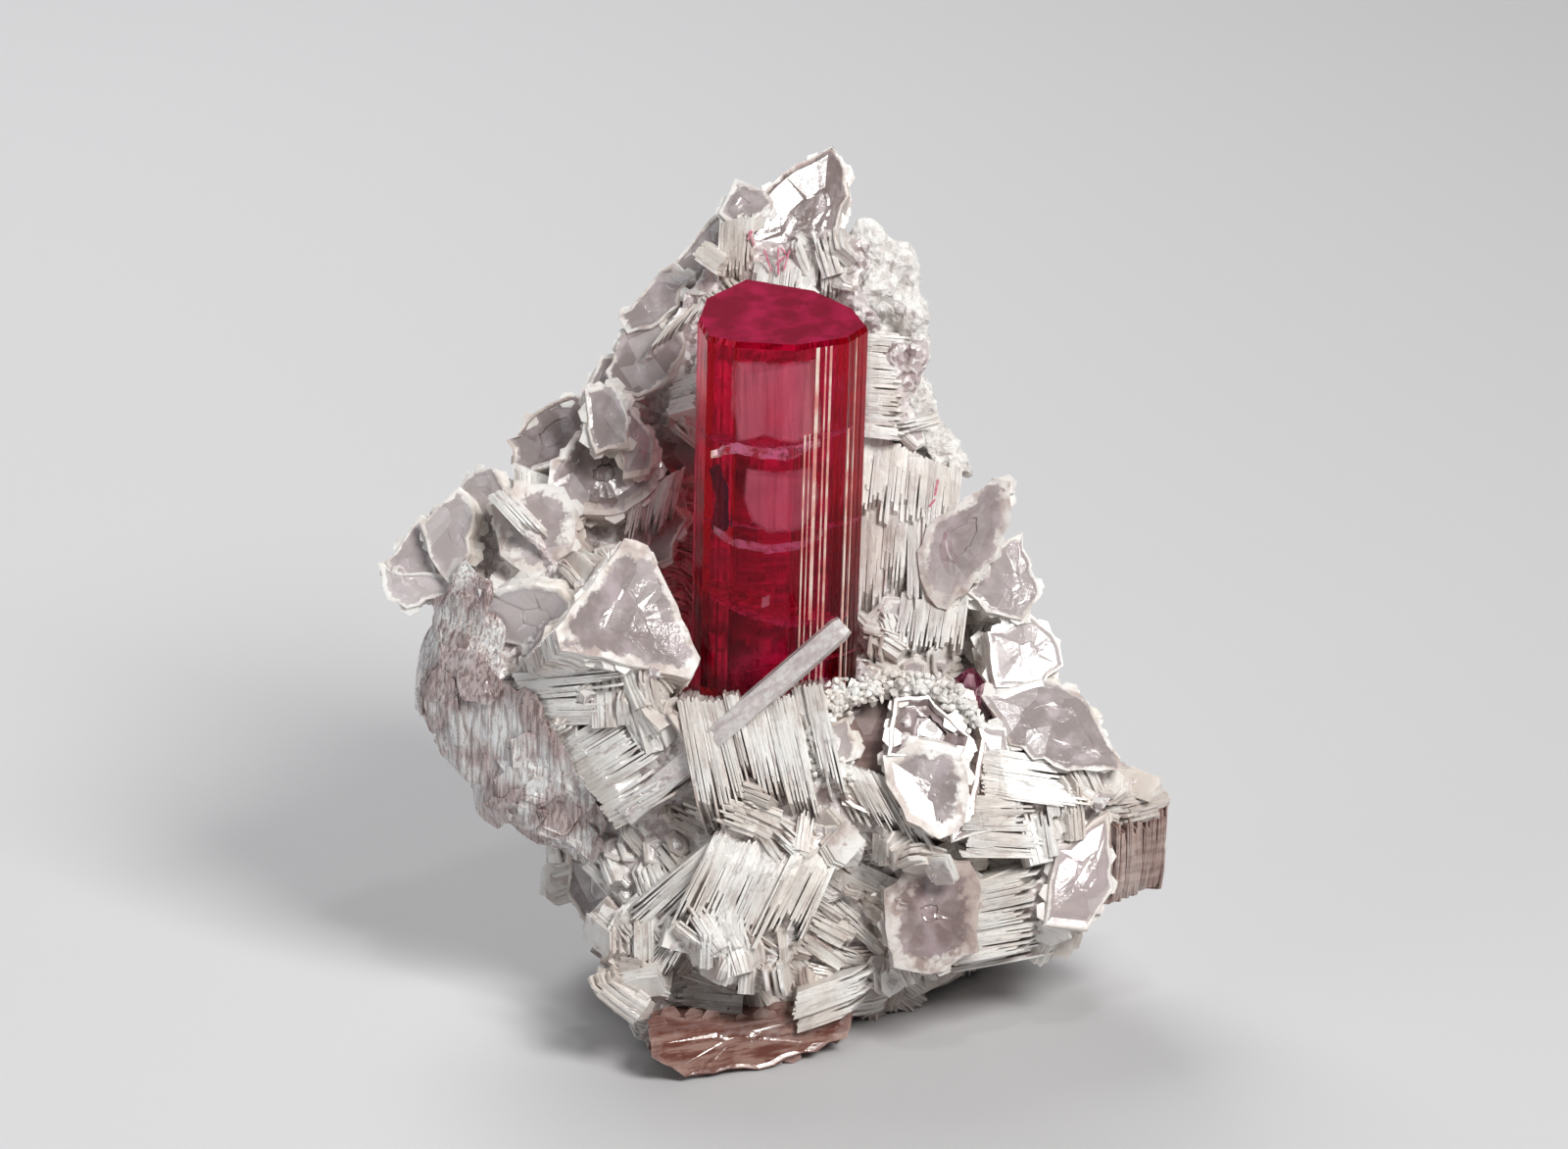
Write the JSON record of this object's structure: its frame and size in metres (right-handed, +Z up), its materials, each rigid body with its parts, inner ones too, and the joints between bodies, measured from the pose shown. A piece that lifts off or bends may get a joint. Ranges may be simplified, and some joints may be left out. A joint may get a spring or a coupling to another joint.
{
  "type": "elbaite on matrix mineral specimen",
  "caption": "Mineral specimen: a deep red elbaite tourmaline prism standing in a nest of pale lepidolite mica books on a flat broken base.",
  "frame": {"origin": "on the flat broken underside, straight below the foot of the large crystal", "axes": "+Z up along the large crystal, -Y towards the front that the crystal faces, +X to the right seen from the front"},
  "size_m": [0.0562, 0.0401, 0.0573],
  "materials": {
    "elbaite": "clear deep red gem crystal with vertical striations and a matte end face",
    "lepidolite": "pearly pale lilac-grey mica with white frayed plate edges",
    "albite": "bright white sugary feldspar"
  },
  "bodies": {
    "root": {"lepidolite_matrix": "lepidolite", "albite_crust": "albite", "elbaite_crystal": "elbaite", "elbaite_small_crystal": "elbaite"}
  },
  "joints": []
}
